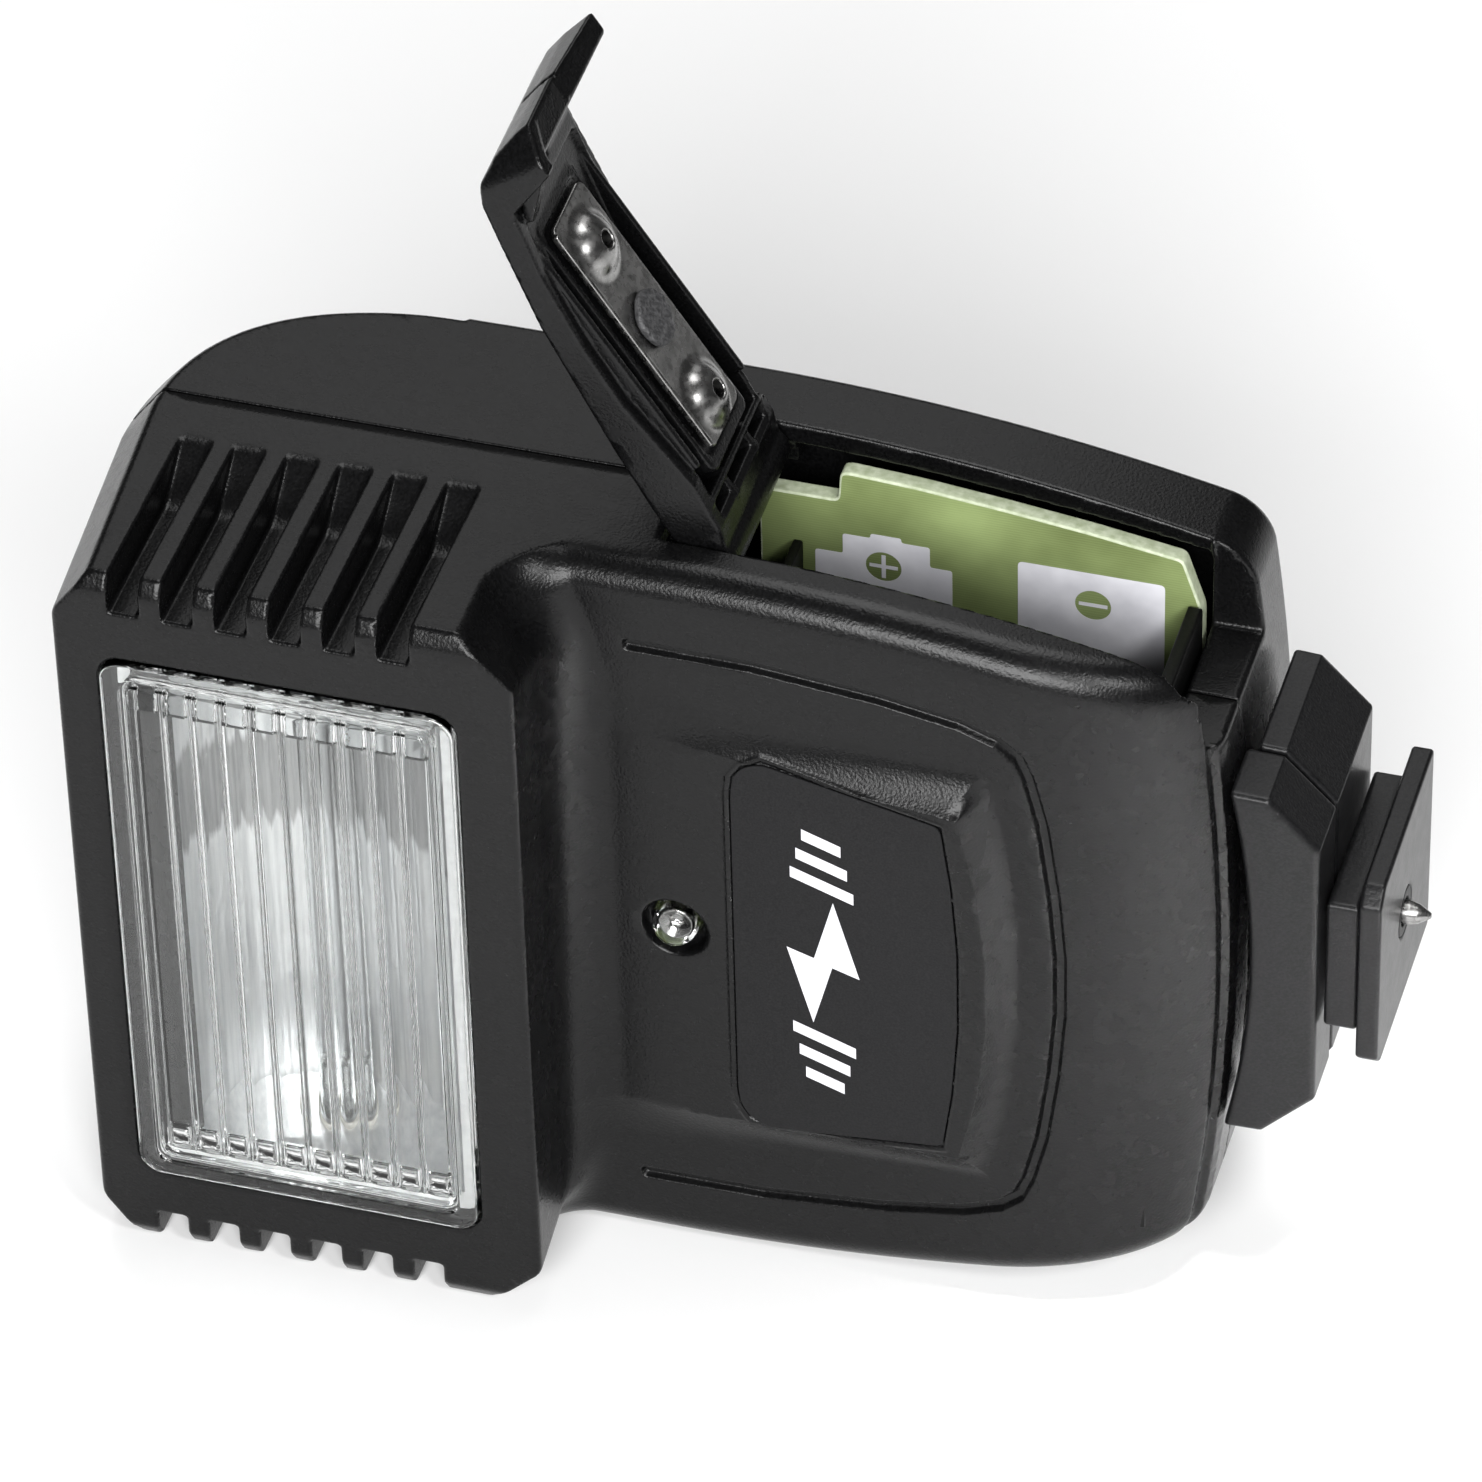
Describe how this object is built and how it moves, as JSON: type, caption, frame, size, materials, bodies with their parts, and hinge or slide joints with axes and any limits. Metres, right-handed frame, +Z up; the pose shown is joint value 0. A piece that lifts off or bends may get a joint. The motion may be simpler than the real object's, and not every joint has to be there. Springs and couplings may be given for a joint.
{
  "type": "shoe-mount flash gun",
  "caption": "Compact shoe-mount electronic flash gun lying on its side: vented head with ribbed flash window, side battery door open, slide-in shoe foot.",
  "frame": {"origin": "on the resting surface below the centre of the rest-pose bounding box, battery door open", "axes": "+X towards the shoe foot, +Y towards the back of the flash, +Z up on the side with the battery door; the flash window faces -Y"},
  "size_m": [0.1048, 0.0392, 0.1082],
  "materials": {
    "shell_black": "fine-grained satin moulding",
    "foot_black": "satin moulding",
    "inner_black": "smooth black moulding",
    "label_black": "fine-textured satin label",
    "clear_plastic": "clear moulded plastic",
    "tube_glass": "clear glass tube",
    "reflector_metal": "bright rolled sheet",
    "nickel": "bright nickel plate",
    "steel": "plain steel",
    "grommet_rubber": "matt silicone",
    "sleeve_plastic": "shrink sleeve",
    "copper_winding": "enamelled copper wire",
    "ferrite": "sintered ferrite, stood in by a matt dark solid",
    "board_green": "olive-green board lacquer",
    "lamp_red": "translucent red"
  },
  "bodies": {
    "housing": {"front_shell": "shell_black", "rear_shell": "shell_black", "label_plate": "label_black", "window_lens": "clear_plastic", "reflector": "reflector_metal", "flash_tube": "tube_glass", "tube_electrode_upper": "nickel", "tube_electrode_lower": "nickel", "tube_grommet_upper": "grommet_rubber", "tube_grommet_lower": "grommet_rubber", "flash_capacitor": "sleeve_plastic", "trigger_coil": "copper_winding", "transformer_core": "ferrite", "transformer_winding": "copper_winding", "circuit_board": "board_green", "battery_tray": "inner_black", "cell_spring": "nickel", "spring_plate": "nickel", "button_plate": "nickel", "sensor_dome": "clear_plastic", "sensor_board": "board_green", "hinge_pin": "steel", "foot_block_front": "foot_black", "foot_block_rear": "foot_black", "foot_neck": "foot_black", "foot_plate": "foot_black", "contact_collar": "inner_black", "contact_spring": "steel", "ready_lamp": "lamp_red", "housing_screw_1": "steel", "housing_screw_2": "steel", "housing_screw_3": "steel", "housing_screw_4": "steel"},
    "door": {"battery_door": "shell_black", "door_contact_plate": "nickel", "door_rivet": "inner_black"},
    "contact": {"contact_pin": "nickel"},
    "switch": {"power_switch": "inner_black"},
    "button": {"test_button": "inner_black"}
  },
  "joints": [
    {"name": "door_hinge", "type": "hinge", "parent": "housing", "child": "door", "pos_m": [-0.00236, 0.0042, 0.0686], "axis": [0, 1, 0], "range_deg": [0, 123.4]},
    {"name": "contact_press", "type": "slide", "parent": "housing", "child": "contact", "axis": [-1, 0, 0], "range_m": [0, 0.0012], "stiffness_N_per_m": 400, "springref_m": -0.0008, "deforming": ["contact_spring"]},
    {"name": "switch_slide", "type": "slide", "parent": "housing", "child": "switch", "axis": [0, 0, 1], "range_m": [0, 0.0036]},
    {"name": "button_press", "type": "slide", "parent": "housing", "child": "button", "axis": [0, -1, 0], "range_m": [0, 0.0008], "stiffness_N_per_m": 500, "springref_m": -0.0006}
  ]
}
